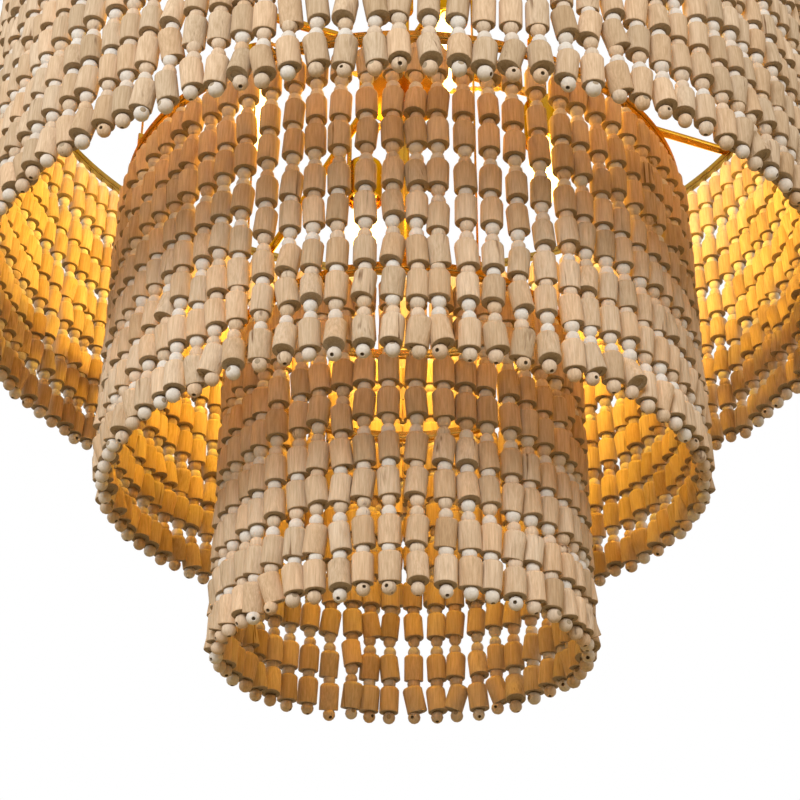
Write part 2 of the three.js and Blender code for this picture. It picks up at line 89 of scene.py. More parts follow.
# Each tier: its strings, beads on a string, balls in the lowest gap, and lengths of bead rail
TIERS = {
    1: {"strings": 120, "beads": 9, "lowest_gap_balls": 2, "groups": 8},
    2: {"strings": 80, "beads": 8, "lowest_gap_balls": 2, "groups": 8},
    3: {"strings": 48, "beads": 8, "lowest_gap_balls": 1, "groups": 6},
}
ARM_COUNT = 4
SPOKE_AZIMUTH = math.radians(24.2)
LAMP_AZIMUTH = math.radians(16)
SCREW_AZIMUTH = math.radians(-52)
LAMP_CIRCLE_RADIUS = 151 * MM
CUP_TOP_Z = -142 * MM
BULB_FOOT_Z = CUP_TOP_Z - 41.8 * MM
GLOW_Z = CUP_TOP_Z - 88 * MM  # the middle of a bulb's filament
WIRING_CUP_RADIUS = 45 * MM
LEAD_EXIT_Z = -145.5 * MM
HOOP_WIDTH = 7 * MM
RAIL_GAP = 0.3 * MM  # from a hoop to its bead rail
STRING_TOP_DROP = 4.2 * MM  # from a rail's top to where its strings start
HOOK_DROP = 4 * MM
ROUND_SIDES = 40
FLOOR_Z = -1.5

# The photograph's viewpoint: below and in front of the light, looking up at it
VIEW_SPOT = (0, -1.3533, -1.256)
VIEW_RISE = 28.59  # degrees above level
VIEW_LENS = 75.06
VIEW_SENSOR = 36
VIEW_SHIFT = -3 / 800


# Modelling helpers


def clear_selection():
    if bpy.context.object and bpy.context.object.mode != "OBJECT":
        bpy.ops.object.mode_set(mode="OBJECT")
    bpy.ops.object.select_all(action="DESELECT")


def work_on(piece):
    clear_selection()
    piece.select_set(True)
    bpy.context.view_layer.objects.active = piece


def close_mesh(piece, smooth_angle=SMOOTH_ANGLE):
    """Merges doubled corners, faces the mesh outwards and puts the piece's place in its mesh."""
    work_on(piece)
    bpy.ops.object.mode_set(mode="EDIT")
    bpy.ops.mesh.select_all(action="SELECT")
    bpy.ops.mesh.remove_doubles(threshold=MERGE_DISTANCE)
    bpy.ops.mesh.normals_make_consistent(inside=False)
    bpy.ops.object.mode_set(mode="OBJECT")
    bpy.ops.object.transform_apply(location=True, rotation=True, scale=True)
    bpy.ops.object.shade_smooth_by_angle(angle=smooth_angle)
    return piece


def turned(name, outline, sides=ROUND_SIDES):
    """A form turned about Z. Each station of the outline is (radius, height)."""
    stations = [(max(radius, POINT_RADIUS), height) for radius, height in outline]
    radius, height = stations[0]
    clear_selection()
    bpy.ops.mesh.primitive_circle_add(vertices=sides, radius=radius, location=(0, 0, height))
    piece = bpy.context.object
    piece.name = name
    bpy.ops.object.mode_set(mode="EDIT")
    bpy.ops.mesh.select_all(action="SELECT")
    for next_radius, next_height in stations[1:]:
        step = {"value": (0, 0, next_height - height)}
        bpy.ops.mesh.extrude_region_move(TRANSFORM_OT_translate=step)
        share = next_radius / radius
        bpy.ops.transform.resize(value=(share, share, 1), center_override=(0, 0, next_height))
        radius, height = next_radius, next_height
    bpy.ops.object.mode_set(mode="OBJECT")
    return close_mesh(piece)


def soften_edges(piece, width, segments=2):
    work_on(piece)
    bevel = piece.modifiers.new("edges", "BEVEL")
    bevel.width = width
    bevel.segments = segments
    bevel.limit_method = "ANGLE"
    bpy.ops.object.modifier_apply(modifier=bevel.name)
    bpy.ops.object.shade_smooth_by_angle(angle=SMOOTH_ANGLE)
    return piece


def bar(name, size, centre, edge):
    """A flat bar with its edges softened."""
    clear_selection()
    bpy.ops.mesh.primitive_cube_add(size=1, location=centre, scale=size)
    piece = bpy.context.object
    piece.name = name
    bpy.ops.object.transform_apply(location=True, rotation=True, scale=True)
    return soften_edges(piece, edge)


def place(piece, matrix):
    piece.data.transform(matrix)
    return piece


def placed_copy(piece, name, matrix):
    """A copy with its own mesh, at its own place."""
    copy = piece.copy()
    copy.data = piece.data.copy()
    copy.name = name
    bpy.context.collection.objects.link(copy)
    return place(copy, matrix)


def joined(name, pieces):
    clear_selection()
    for piece in pieces:
        piece.select_set(True)
    bpy.context.view_layer.objects.active = pieces[0]
    bpy.ops.object.join()
    whole = bpy.context.object
    whole.name = name
    return whole


def discard(*pieces):
    for piece in pieces:
        mesh = piece.data
        bpy.data.objects.remove(piece)
        bpy.data.meshes.remove(mesh)


def about_z(angle):
    return Matrix.Rotation(angle, 4, "Z")


def arm_turn(first, index):
    return about_z(first + index * math.tau / ARM_COUNT)


def dress(piece, material, body="root", nodes=()):
    """Gives a finished piece its material, its body and the solids that it stands for."""
    piece.data.materials.clear()
    piece.data.materials.append(material)
    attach(piece, body)
    if nodes:
        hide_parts(*nodes)
    return piece


# Materials


def new_material(name):
    material = bpy.data.materials.new(name)
    material.use_nodes = True
    tree = material.node_tree
    return material, tree, tree.nodes["Principled BSDF"]


def add_node(tree, kind, inputs=(), **settings):
    node = tree.nodes.new(kind)
    for key, value in settings.items():
        setattr(node, key, value)
    for key, value in dict(inputs).items():
        if isinstance(value, bpy.types.NodeSocket):
            tree.links.new(value, node.inputs[key])
        else:
            node.inputs[key].default_value = value
    return node


def blend_colours(tree, factor, first, second, blend_type="MIX"):
    mix = add_node(tree, "ShaderNodeMix", data_type="RGBA", blend_type=blend_type)
    for socket, value in zip((mix.inputs[0], mix.inputs[6], mix.inputs[7]), (factor, first, second)):
        if isinstance(value, bpy.types.NodeSocket):
            tree.links.new(value, socket)
        else:
            socket.default_value = value
    return mix.outputs[2]


def work_out(tree, operation, *values):
    return add_node(tree, "ShaderNodeMath", dict(enumerate(values)), operation=operation).outputs["Value"]


def add_relief(tree, surface, height, strength, distance):
    relief = add_node(tree, "ShaderNodeBump", {
        "Height": height, "Strength": strength, "Distance": distance,
    })
    tree.links.new(relief.outputs["Normal"], surface.inputs["Normal"])


def levels(tree, value, low, high, to_low=0.0, to_high=1.0):
    span = {"Value": value, "From Min": low, "From Max": high, "To Min": to_low, "To Max": to_high}
    return add_node(tree, "ShaderNodeMapRange", span).outputs["Result"]


def new_group(name, inputs, outputs):
    """An empty node group. Its input Vector is a place, and its other sockets are plain values."""
    group = bpy.data.node_groups.new(name, "ShaderNodeTree")
    for socket in inputs:
        kind = "NodeSocketVector" if socket == "Vector" else "NodeSocketFloat"
        group.interface.new_socket(socket, in_out="INPUT", socket_type=kind)
    for socket in outputs:
        group.interface.new_socket(socket, in_out="OUTPUT", socket_type="NodeSocketFloat")
    return group, group.nodes.new("NodeGroupInput"), group.nodes.new("NodeGroupOutput")


def make_streaks_group():
    """Fine fibres drawn out along Z, and a few dark streaks, about a shifted place."""
    group, start, end = new_group("fibre_streaks", ("Vector", "Across", "Along"), ("Fibre", "Streak"))
    stretch = add_node(group, "ShaderNodeCombineXYZ", {
        "X": start.outputs["Across"], "Y": start.outputs["Across"], "Z": start.outputs["Along"],
    })
    drawn = add_node(group, "ShaderNodeVectorMath", {
        0: start.outputs["Vector"], 1: stretch.outputs["Vector"],
    }, operation="MULTIPLY").outputs["Vector"]
    fine = add_node(group, "ShaderNodeTexNoise", {
        "Vector": drawn, "Scale": 1.0, "Detail": 4.0, "Roughness": 0.65,
    })
    coarse = add_node(group, "ShaderNodeTexNoise", {
        "Vector": drawn, "Scale": 0.31, "Detail": 2.0, "Distortion": 0.4,
    })
    group.links.new(fine.outputs["Fac"], end.inputs["Fibre"])
    group.links.new(levels(group, coarse.outputs["Fac"], 0.64, 0.74), end.inputs["Streak"])
    return group


def make_smudge_group():
    """Handling marks: an uneven film that changes gloss and tone a little."""
    group, start, end = new_group("smudges", ("Vector", "Scale"), ("Film",))
    patches = add_node(group, "ShaderNodeTexNoise", {
        "Vector": start.outputs["Vector"], "Scale": start.outputs["Scale"],
        "Detail": 5.0, "Roughness": 0.6,
    })
    group.links.new(levels(group, patches.outputs["Fac"], 0.35, 0.7), end.inputs["Film"])
    return group


def use_group(tree, group, inputs):
    return add_node(tree, "ShaderNodeGroup", inputs, node_tree=group).outputs


RING_WAVES = math.tau / 0.9  # a turning ring every 0.9 mm from a bead's axis


def make_bead_wood(streaks):
    """Pale turned wood. Each bead carries its tone, its paint and a shift of the grain. Its undersides and
    holes are painted darker, partly as end grain and partly as painted shade.
    """
    material, tree, surface = new_material("bead_wood")
    place_on_object = add_node(tree, "ShaderNodeTexCoord").outputs["Object"]
    look = add_node(tree, "ShaderNodeAttribute", attribute_name="bead_look")
    # Faces marked at a bead's foot and mouth and inside a ball's hole take a darker colour: end grain, plus
    # painted shade under the bead and in the hole.
    end_grain = add_node(tree, "ShaderNodeAttribute", attribute_name="end_grain").outputs["Fac"]
    from_axis = add_node(tree, "ShaderNodeAttribute", attribute_name="from_axis").outputs["Fac"]
    parts = add_node(tree, "ShaderNodeSeparateColor", {"Color": look.outputs["Color"]}).outputs
    tone, paint, shift = parts["Red"], parts["Green"], parts["Blue"]
    shifted = add_node(tree, "ShaderNodeVectorMath", {
        0: look.outputs["Color"], "Scale": 7.0,
    }, operation="SCALE").outputs["Vector"]
    own_place = add_node(tree, "ShaderNodeVectorMath", {
        0: place_on_object, 1: shifted,
    }, operation="ADD").outputs["Vector"]
    grain = use_group(tree, streaks, {"Vector": own_place, "Across": 620.0, "Along": 42.0})
    fibre = levels(tree, grain["Fibre"], 0.3, 0.72)
    base = blend_colours(tree, tone, (0.50, 0.38, 0.25, 1), (0.74, 0.60, 0.45, 1))
    fibres = blend_colours(tree, fibre, (0.75, 0.69, 0.61, 1), (1.08, 1.08, 1.08, 1))
    batch = blend_colours(tree, shift, (1.05, 0.985, 0.93, 1), (0.965, 1.0, 1.05, 1))
    wood = blend_colours(tree, 1.0, base, fibres, "MULTIPLY")
    wood = blend_colours(tree, 1.0, wood, batch, "MULTIPLY")
    streaked_beads = levels(tree, shift, 0.45, 0.75)
    streak = work_out(tree, "MULTIPLY", grain["Streak"], streaked_beads)
    dark = blend_colours(tree, streak, wood, (0.20, 0.115, 0.06, 1))
    speckle = add_node(tree, "ShaderNodeTexNoise", {
        "Vector": own_place, "Scale": 520.0, "Detail": 2.0,
    }).outputs["Fac"]
    worn = levels(tree, speckle, 0.3, 0.6)
    chalk = blend_colours(tree, worn, (0.67, 0.65, 0.62, 1), (0.77, 0.755, 0.73, 1))
    painted = blend_colours(tree, paint, dark, chalk)
    wave = work_out(tree, "SINE", work_out(tree, "MULTIPLY", from_axis, RING_WAVES))
    ring = work_out(tree, "MULTIPLY_ADD", wave, 0.36, fibre)
    # The darker end colour is end grain plus painted shade on the undersides and inside the holes.
    end_rings_and_painted_shade = blend_colours(tree, ring, (0.29, 0.23, 0.16, 1), (0.45, 0.365, 0.265, 1))
    colour = blend_colours(tree, end_grain, painted, end_rings_and_painted_shade)
    tree.links.new(colour, surface.inputs["Base Color"])
    tree.links.new(levels(tree, grain["Fibre"], 0.2, 0.8, 0.82, 0.62), surface.inputs["Roughness"])
    add_relief(tree, surface, grain["Fibre"], 0.35, 0.0004)
    surface.inputs["Specular IOR Level"].default_value = 0.06
    return material


def make_brass(name, smudges, pale, deep):
    """Brass under a thin uneven film, pale where it is clean and deep where it isn't."""
    material, tree, surface = new_material(name)
    coordinates = add_node(tree, "ShaderNodeTexCoord").outputs["Object"]
    film = use_group(tree, smudges, {"Vector": coordinates, "Scale": 55.0})["Film"]
    colour = blend_colours(tree, film, pale, deep)
    tree.links.new(colour, surface.inputs["Base Color"])
    tree.links.new(levels(tree, film, 0.0, 1.0, 0.18, 0.32), surface.inputs["Roughness"])
    pits = add_node(tree, "ShaderNodeTexNoise", {"Vector": coordinates, "Scale": 1800.0, "Detail": 2.0})
    add_relief(tree, surface, pits.outputs["Fac"], 0.06, 0.0002)
    surface.inputs["Metallic"].default_value = 1.0
    surface.inputs["Specular Tint"].default_value = (0.95, 0.52, 0.14, 1)
    return material


def make_hook_wire(smudges):
    material, tree, surface = new_material("hook_wire")
    coordinates = add_node(tree, "ShaderNodeTexCoord").outputs["Object"]
    film = use_group(tree, smudges, {"Vector": coordinates, "Scale": 140.0})["Film"]
    colour = blend_colours(tree, film, (0.20, 0.12, 0.05, 1), (0.34, 0.21, 0.08, 1))
    tree.links.new(colour, surface.inputs["Base Color"])
    tree.links.new(levels(tree, film, 0.0, 1.0, 0.35, 0.55), surface.inputs["Roughness"])
    surface.inputs["Metallic"].default_value = 0.9
    return material


def make_porcelain(smudges):
    material, tree, surface = new_material("glazed_holder")
    coordinates = add_node(tree, "ShaderNodeTexCoord").outputs["Object"]
    film = use_group(tree, smudges, {"Vector": coordinates, "Scale": 80.0})["Film"]
    colour = blend_colours(tree, film, (0.82, 0.78, 0.68, 1), (0.72, 0.67, 0.56, 1))
    tree.links.new(colour, surface.inputs["Base Color"])
    tree.links.new(levels(tree, film, 0.0, 1.0, 0.28, 0.42), surface.inputs["Roughness"])
    surface.inputs["Coat Weight"].default_value = 0.3
    return material


def make_lamp_cord(streaks):
    """Braided sleeve: fine ribs wound round each strand, from its own UV map."""
    material, tree, surface = new_material("braided_cord")
    unwrapped = add_node(tree, "ShaderNodeUVMap", uv_map="UVMap").outputs["UV"]
    ribs = add_node(tree, "ShaderNodeTexWave", {
        "Vector": unwrapped, "Scale": 30.0, "Distortion": 0.5, "Detail": 1.0,
    }, wave_type="BANDS", bands_direction="DIAGONAL").outputs["Fac"]
    coordinates = add_node(tree, "ShaderNodeTexCoord").outputs["Object"]
    threads = use_group(tree, streaks, {"Vector": coordinates, "Across": 700.0, "Along": 700.0})["Fibre"]
    ribbed = blend_colours(tree, ribs, (0.30, 0.17, 0.045, 1), (0.62, 0.40, 0.12, 1))
    colour = blend_colours(tree, levels(tree, threads, 0.3, 0.7, 0.0, 0.35), ribbed, (0.75, 0.52, 0.2, 1))
    tree.links.new(colour, surface.inputs["Base Color"])
    add_relief(tree, surface, ribs, 0.5, 0.0003)
    surface.inputs["Roughness"].default_value = 0.7
    surface.inputs["Sheen Weight"].default_value = 0.2
    return material


def make_bulb_glass(smudges):
    """Clear glass that lets the lamp's light through and glows where it is looked into."""
    material, tree, surface = new_material("bulb_glass")
    coordinates = add_node(tree, "ShaderNodeTexCoord").outputs["Object"]
    film = use_group(tree, smudges, {"Vector": coordinates, "Scale": 60.0})["Film"]
    tree.links.new(levels(tree, film, 0.0, 1.0, 0.0, 0.05), surface.inputs["Roughness"])
    surface.inputs["Base Color"].default_value = (1.0, 0.84, 0.56, 1)
    surface.inputs["Transmission Weight"].default_value = 1.0
    surface.inputs["IOR"].default_value = 1.45
    facing = add_node(tree, "ShaderNodeLayerWeight", {"Blend": 0.35}).outputs["Facing"]
    glow = blend_colours(tree, levels(tree, facing, 0.0, 0.85), (1.0, 0.78, 0.36, 1), (0.45, 0.19, 0.02, 1))
    tree.links.new(glow, surface.inputs["Emission Color"])
    surface.inputs["Emission Strength"].default_value = 1.8
    clear = add_node(tree, "ShaderNodeBsdfTransparent")
    shadow_ray = add_node(tree, "ShaderNodeLightPath").outputs["Is Shadow Ray"]
    mix = add_node(tree, "ShaderNodeMixShader", {
        0: shadow_ray, 1: surface.outputs["BSDF"], 2: clear.outputs["BSDF"],
    })
    tree.links.new(mix.outputs["Shader"], tree.nodes["Material Output"].inputs["Surface"])
    return material


def make_filament_glow():
    material, tree, surface = new_material("lit_filament")
    coordinates = add_node(tree, "ShaderNodeTexCoord").outputs["Object"]
    heat = add_node(tree, "ShaderNodeTexNoise", {"Vector": coordinates, "Scale": 300.0}).outputs["Fac"]
    colour = blend_colours(tree, heat, (1.0, 0.72, 0.3, 1), (1.0, 0.86, 0.55, 1))
    tree.links.new(colour, surface.inputs["Emission Color"])
    tree.links.new(colour, surface.inputs["Base Color"])
    surface.inputs["Emission Strength"].default_value = 40.0
    return material


streaks_group = make_streaks_group()
smudge_group = make_smudge_group()
bead_wood = make_bead_wood(streaks_group)
brass = make_brass("satin_brass", smudge_group, (0.56, 0.29, 0.032, 1), (0.40, 0.195, 0.02, 1))
hoop_brass = make_brass("dark_brass", smudge_group, (0.44, 0.265, 0.06, 1), (0.27, 0.155, 0.035, 1))
hook_wire = make_hook_wire(smudge_group)
porcelain = make_porcelain(smudge_group)
lamp_cord = make_lamp_cord(streaks_group)
bulb_glass = make_bulb_glass(smudge_group)
lit_filament = make_filament_glow()


# Loop, collar, stem, hub and spokes


def make_hang_loop():
    low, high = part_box("hang_loop")
    wire_radius = 2.75 * MM
    path_radius = (high.x - low.x) / 2 - wire_radius
    centre_z = high.z - wire_radius - path_radius
    foot_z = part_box("loop_collar")[1].z
    clear_selection()
    bpy.ops.mesh.primitive_torus_add(
        major_radius=path_radius, minor_radius=wire_radius, major_segments=56, minor_segments=18,
        location=(0, 0, centre_z), rotation=(math.pi / 2, 0, 0),
    )
    ring = close_mesh(bpy.context.object)
    eye_foot_z = centre_z - path_radius
    foot = turned("loop_foot", [
        (0, foot_z - 6 * MM),
        (4.5 * MM, foot_z - 6 * MM),
        (4.5 * MM, foot_z + 0.3 * MM),
        (7.6 * MM, foot_z + 0.3 * MM),
        (8 * MM, foot_z + 0.8 * MM),
        (8 * MM, foot_z + 3.2 * MM),
        (6.6 * MM, foot_z + 4.4 * MM),
        (3.4 * MM, eye_foot_z - 1 * MM),
        (0, eye_foot_z + 1 * MM),
    ], 24)
    dress(joined("hang_loop_cast", [ring, foot]), brass, nodes=["hang_loop"])


def make_collar():
    low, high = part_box("loop_collar")
    radius = high.x
    bore = 5 * MM
    groove = 0.7 * MM
    middle = (low.z + high.z) / 2
    collar = turned("loop_collar_turned", [
        (bore, low.z),
        (radius - 1.6 * MM, low.z),
        (radius - 0.4 * MM, low.z + 0.5 * MM),
        (radius, low.z + 1.6 * MM),
        (radius, middle - 2 * MM),
        (radius - groove, middle - 1.4 * MM),
        (radius - groove, middle + 1.4 * MM),
        (radius, middle + 2 * MM),
        (radius, high.z - 1.6 * MM),
        (radius - 0.4 * MM, high.z - 0.5 * MM),
        (radius - 1.6 * MM, high.z),
        (bore, high.z),
        (bore, low.z),
    ])
    dress(collar, brass, nodes=["loop_collar"])


def make_stem():
    low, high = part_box("center_stem")
    radius = high.x
    edge = 0.5 * MM
    stem = turned("center_stem_tube", [
        (0, low.z),
        (radius - edge, low.z),
        (radius, low.z + edge),
        (radius, high.z - edge),
        (radius - edge, high.z),
        (0, high.z),
    ])
    dress(stem, brass, nodes=["center_stem"])


def make_hub():
    low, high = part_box("spoke_hub")
    radius = 21 * MM
    flange_radius = 44 * MM
    flange_top = low.z + 2.5 * MM
    bore = 6.5 * MM
    hub = turned("spoke_hub_turned", [
        (bore, low.z),
        (flange_radius - 0.8 * MM, low.z),
        (flange_radius, low.z + 0.8 * MM),
        (flange_radius, flange_top - 0.8 * MM),
        (flange_radius - 0.8 * MM, flange_top),
        (radius + 1.6 * MM, flange_top),
        (radius + 0.4 * MM, flange_top + 0.5 * MM),
        (radius, flange_top + 1.6 * MM),
        (radius, high.z - 2.6 * MM),
        (radius - 0.8 * MM, high.z - 0.8 * MM),
        (radius - 2.6 * MM, high.z),
        (bore, high.z),
        (bore, low.z),
    ], 56)
    dress(hub, brass, nodes=["spoke_hub"])


def make_spokes():
    spoke_low, spoke_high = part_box("spoke_1")
    radius = 4.75 * MM
    axis_z = (spoke_low.z + spoke_high.z) / 2
    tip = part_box("hoop_1")[1].x
    root = 10 * MM
    edge = 0.6 * MM
    spoke = turned("spoke", [
        (0, root),
        (radius, root),
        (radius, tip - edge),
        (radius - edge, tip),
        (0, tip),
    ], 32)
    place(spoke, Matrix.Translation((0, 0, axis_z)) @ Matrix.Rotation(math.pi / 2, 4, "Y"))
    for index in range(ARM_COUNT):
        name = f"spoke_{index + 1}"
        copy = placed_copy(spoke, f"{name}_bar", arm_turn(SPOKE_AZIMUTH, index))
        dress(copy, brass, nodes=[name])
    discard(spoke)


def make_wiring_cup():
    low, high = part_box("wiring_cup")
    radius, foot_radius = WIRING_CUP_RADIUS, 41 * MM
    wall = 1.4 * MM
    bore = 6.6 * MM
    cup = turned("wiring_cup_spun", [
        (bore, low.z),
        (foot_radius - 1.5 * MM, low.z),
        (foot_radius, low.z + 0.4 * MM),
        (foot_radius + 2.4 * MM, low.z + 1.8 * MM),
        (radius - 0.3 * MM, low.z + 4 * MM),
        (radius, low.z + 6 * MM),
        (radius, high.z - 3 * MM),
        (radius + 0.5 * MM, high.z - 2 * MM),
        (radius + 0.5 * MM, high.z - 0.6 * MM),
        (radius - 0.2 * MM, high.z),
        (radius - wall, high.z),
        (radius - wall, low.z + 6 * MM),
        (foot_radius - wall, low.z + wall),
        (bore, low.z + wall),
        (bore, low.z),
    ], 72)
    bushing = turned("bushing", [
        (2.6 * MM, -1.2 * MM),
        (4.4 * MM, -1.2 * MM),
        (4.8 * MM, 0.6 * MM),
        (4.2 * MM, 1.8 * MM),
        (3.4 * MM, 1.8 * MM),
        (2.6 * MM, 1.2 * MM),
        (2.6 * MM, -1.2 * MM),
    ], 20)
    place(bushing, Matrix.Translation((radius, 0, LEAD_EXIT_Z)) @ Matrix.Rotation(math.pi / 2, 4, "Y"))
    bushings = [
        placed_copy(bushing, f"bushing_{index}", arm_turn(LAMP_AZIMUTH, index))
        for index in range(ARM_COUNT)
    ]
    discard(bushing)
    dress(joined("lead_bushings", bushings), hook_wire)
    dress(cup, brass, nodes=["wiring_cup"])


def make_column():
    low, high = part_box("lower_column")
    radius = max(high.x, high.y)
    edge = 1.6 * MM
    step = 0.8 * MM
    bead_height = 5 * MM
    column = turned("lower_column_turned", [
        (0, low.z),
        (radius - 3 * MM, low.z),
        (radius - step, low.z + 0.4 * MM),
        (radius, low.z + edge),
        (radius, low.z + bead_height * 3),
        (radius - step, low.z + bead_height * 3 + step),
        (radius - step, high.z - bead_height),
        (radius, high.z - bead_height + step),
        (radius, high.z - edge),
        (radius - step, high.z - 0.4 * MM),
        (radius - 3 * MM, high.z),
        (0, high.z),
    ], 56)
    dress(column, brass, nodes=["lower_column"])


def make_thumb_screw():
    """A knurled head on a shank, with a washer under it."""
    axis_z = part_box("lower_column")[0].z + 8 * MM
    seat = 16.8 * MM
    knurls, groove_share, grooved_from = 20, 0.94, 5.2 * MM
    head = turned("screw_head", [
        (0, seat - 9 * MM),
        (2.2 * MM, seat - 9 * MM),
        (2.2 * MM, seat),
        (4.2 * MM, seat),
        (4.2 * MM, seat + 0.8 * MM),
        (6 * MM, seat + 1 * MM),
        (6 * MM, seat + 5.4 * MM),
        (5.3 * MM, seat + 6 * MM),
        (2 * MM, seat + 6 * MM),
        (0, seat + 5.2 * MM),
    ], knurls * 2)
    for vertex in head.data.vertices:
        side = math.atan2(vertex.co.y, vertex.co.x) * knurls / math.pi
        if math.hypot(vertex.co.x, vertex.co.y) > grooved_from and round(side) % 2:
            vertex.co.x *= groove_share
            vertex.co.y *= groove_share
    upright = Matrix.Translation((0, 0, axis_z)) @ Matrix.Rotation(math.pi / 2, 4, "Y")
    place(head, about_z(SCREW_AZIMUTH) @ upright)
    head.name = "column_thumb_screw_knurled"
    dress(head, brass, body="thumb_screw", nodes=["column_thumb_screw"])


# Hoops and hangers


def make_hoop(number):
    low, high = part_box(f"hoop_{number}")
    outer, inner = high.x, high.x - HOOP_WIDTH
    edge = 0.7 * MM
    hoop = turned(f"hoop_{number}_rolled", [
        (inner, low.z + edge),
        (inner + edge, low.z),
        (outer - edge, low.z),
        (outer, low.z + edge),
        (outer, high.z - edge),
        (outer - edge, high.z),
        (inner + edge, high.z),
        (inner, high.z - edge),
        (inner, low.z + edge),
    ], 192)
    dress(hoop, hoop_brass, nodes=[f"hoop_{number}"])


def make_hangers(number):
    low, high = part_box(f"tier_{number}_hanger_1")
    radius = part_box(f"hoop_{number}")[1].x - HOOP_WIDTH / 2
    tab_length, tab_width, tab_thickness = 14 * MM, 6 * MM, 3 * MM
    wire_radius = 1 * MM
    pieces = [turned("hanger_wire", [
        (0, low.z + tab_length / 2),
        (wire_radius, low.z + tab_length / 2),
        (wire_radius, high.z - tab_length / 2),
        (0, high.z - tab_length / 2),
    ], 12)]
    for middle in (low.z + tab_length / 2, high.z - tab_length / 2):
        pieces.append(bar("tab", (tab_width, tab_thickness, tab_length), (0, 0, middle), 0.6 * MM))
        rivet = turned("rivet", [
            (0, 0),
            (1.8 * MM, 0),
            (1.8 * MM, tab_thickness / 2 + 0.3 * MM),
            (1.2 * MM, tab_thickness / 2 + 1 * MM),
            (0, tab_thickness / 2 + 1.2 * MM),
        ], 16)
        for side in (1, -1):
            upright = Matrix.Rotation(side * math.pi / 2, 4, "X")
            pieces.append(placed_copy(rivet, "rivet", Matrix.Translation((0, 0, middle)) @ upright))
        discard(rivet)
    hanger = place(joined("hanger", pieces), Matrix.Translation((radius, 0, 0)))
    for index in range(ARM_COUNT):
        name = f"tier_{number}_hanger_{index + 1}"
        copy = placed_copy(hanger, f"{name}_wire", arm_turn(SPOKE_AZIMUTH, index))
        dress(copy, brass, nodes=[name])
    discard(hanger)


# Lamps


def make_socket_cup():
    mouth_z = CUP_TOP_Z - 51 * MM
    radius, wall, shoulder = 18.75 * MM, 1.5 * MM, 4 * MM
    cup = turned("socket_cup", [
        (3.3 * MM, CUP_TOP_Z - wall),
        (radius - shoulder - wall, CUP_TOP_Z - wall),
        (radius - wall, CUP_TOP_Z - shoulder - wall),
        (radius - wall, mouth_z + 0.6 * MM),
        (radius - wall + 0.4 * MM, mouth_z),
        (radius + 0.1 * MM, mouth_z),
        (radius + 0.6 * MM, mouth_z + 0.8 * MM),
        (radius + 0.6 * MM, mouth_z + 2 * MM),
        (radius, mouth_z + 2.8 * MM),
        (radius, CUP_TOP_Z - shoulder),
        (radius - 1.2 * MM, CUP_TOP_Z - 1.2 * MM),
        (radius - shoulder, CUP_TOP_Z),
        (3.3 * MM, CUP_TOP_Z),
        (3.3 * MM, CUP_TOP_Z - wall),
    ], 48)
    bracket_top = -115.05 * MM
    bracket_foot = mouth_z + 12 * MM
    strap = bar(
        "bracket", (9 * MM, 3.5 * MM, bracket_top - bracket_foot),
        (-3 * MM, radius + 0.5 * MM, (bracket_top + bracket_foot) / 2), 0.7 * MM,
    )
    return joined("socket_cup", [cup, strap])


def make_lampholder():
    top, foot = CUP_TOP_Z - 1.8 * MM, BULB_FOOT_Z
    radius, bore = 13.5 * MM, 7.3 * MM
    return turned("lampholder", [
        (0, foot + 25 * MM),
        (bore, foot + 25 * MM),
        (bore, foot + 0.8 * MM),
        (bore + 0.8 * MM, foot),
        (radius - 1 * MM, foot),
        (radius, foot + 1 * MM),
        (radius, foot + 9 * MM),
        (radius - 1 * MM, foot + 10 * MM),
        (radius - 1 * MM, foot + 12 * MM),
        (radius, foot + 13 * MM),
        (radius, top - 3.6 * MM),
        (radius - 1 * MM, top - 1.2 * MM),
        (radius - 3.6 * MM, top),
        (0, top),
    ])


def make_bulb_base():
    """The screw shell: a thread of rounded ridges, and the contact on its end."""
    foot, radius, pitch = BULB_FOOT_Z, 6.1 * MM, 2.6 * MM
    outline = [(0, foot - 1.5 * MM), (radius - 0.6 * MM, foot - 1.5 * MM), (radius, foot)]
    height = foot + 1 * MM
    while height < foot + 18 * MM:
        outline += [
            (radius - 0.35 * MM, height),
            (radius + 0.15 * MM, height + pitch * 0.3),
            (radius + 0.15 * MM, height + pitch * 0.6),
        ]
        height += pitch
    outline += [(radius - 0.6 * MM, foot + 19.5 * MM), (2.4 * MM, foot + 21.5 * MM), (0, foot + 23 * MM)]
    return turned("bulb_base", outline, 28)


def make_bulb_glass_envelope():
    """Blown candle form, with its inner face a wall's thickness inside."""
    foot, length, radius, wall = BULB_FOOT_Z, 92 * MM, 16.5 * MM, 0.7 * MM
    shares = [
        (0.36, 0.0), (0.42, 0.03), (0.56, 0.10), (0.76, 0.20), (0.93, 0.30), (1.0, 0.40),
        (0.97, 0.52), (0.86, 0.65), (0.67, 0.78), (0.45, 0.88), (0.24, 0.95), (0.10, 0.985),
    ]
    outside = [(radius * share, foot - length * drop) for share, drop in shares]
    outside.append((0, foot - length))
    inside = [(max(r - wall, 0), z + wall * 0.5) for r, z in outside[:-1]]
    inside.append((0, foot - length + 2 * wall))
    return turned("bulb_glass", outside[::-1] + inside, 36)


def make_filament():
    """A glowing wire wound downwards in two turns about the bulb's axis."""
    turns, points = 2, 48
    first_drop, length, radius = 26, 30, 3.4 * MM
    path = []
    for i in range(points + 1):
        angle = i * turns * math.tau / points
        height = BULB_FOOT_Z - (first_drop + length * i / points) * MM
        path.append((radius * math.cos(angle), radius * math.sin(angle), height))
    return strand("filament", path, 0.55 * MM, 5)


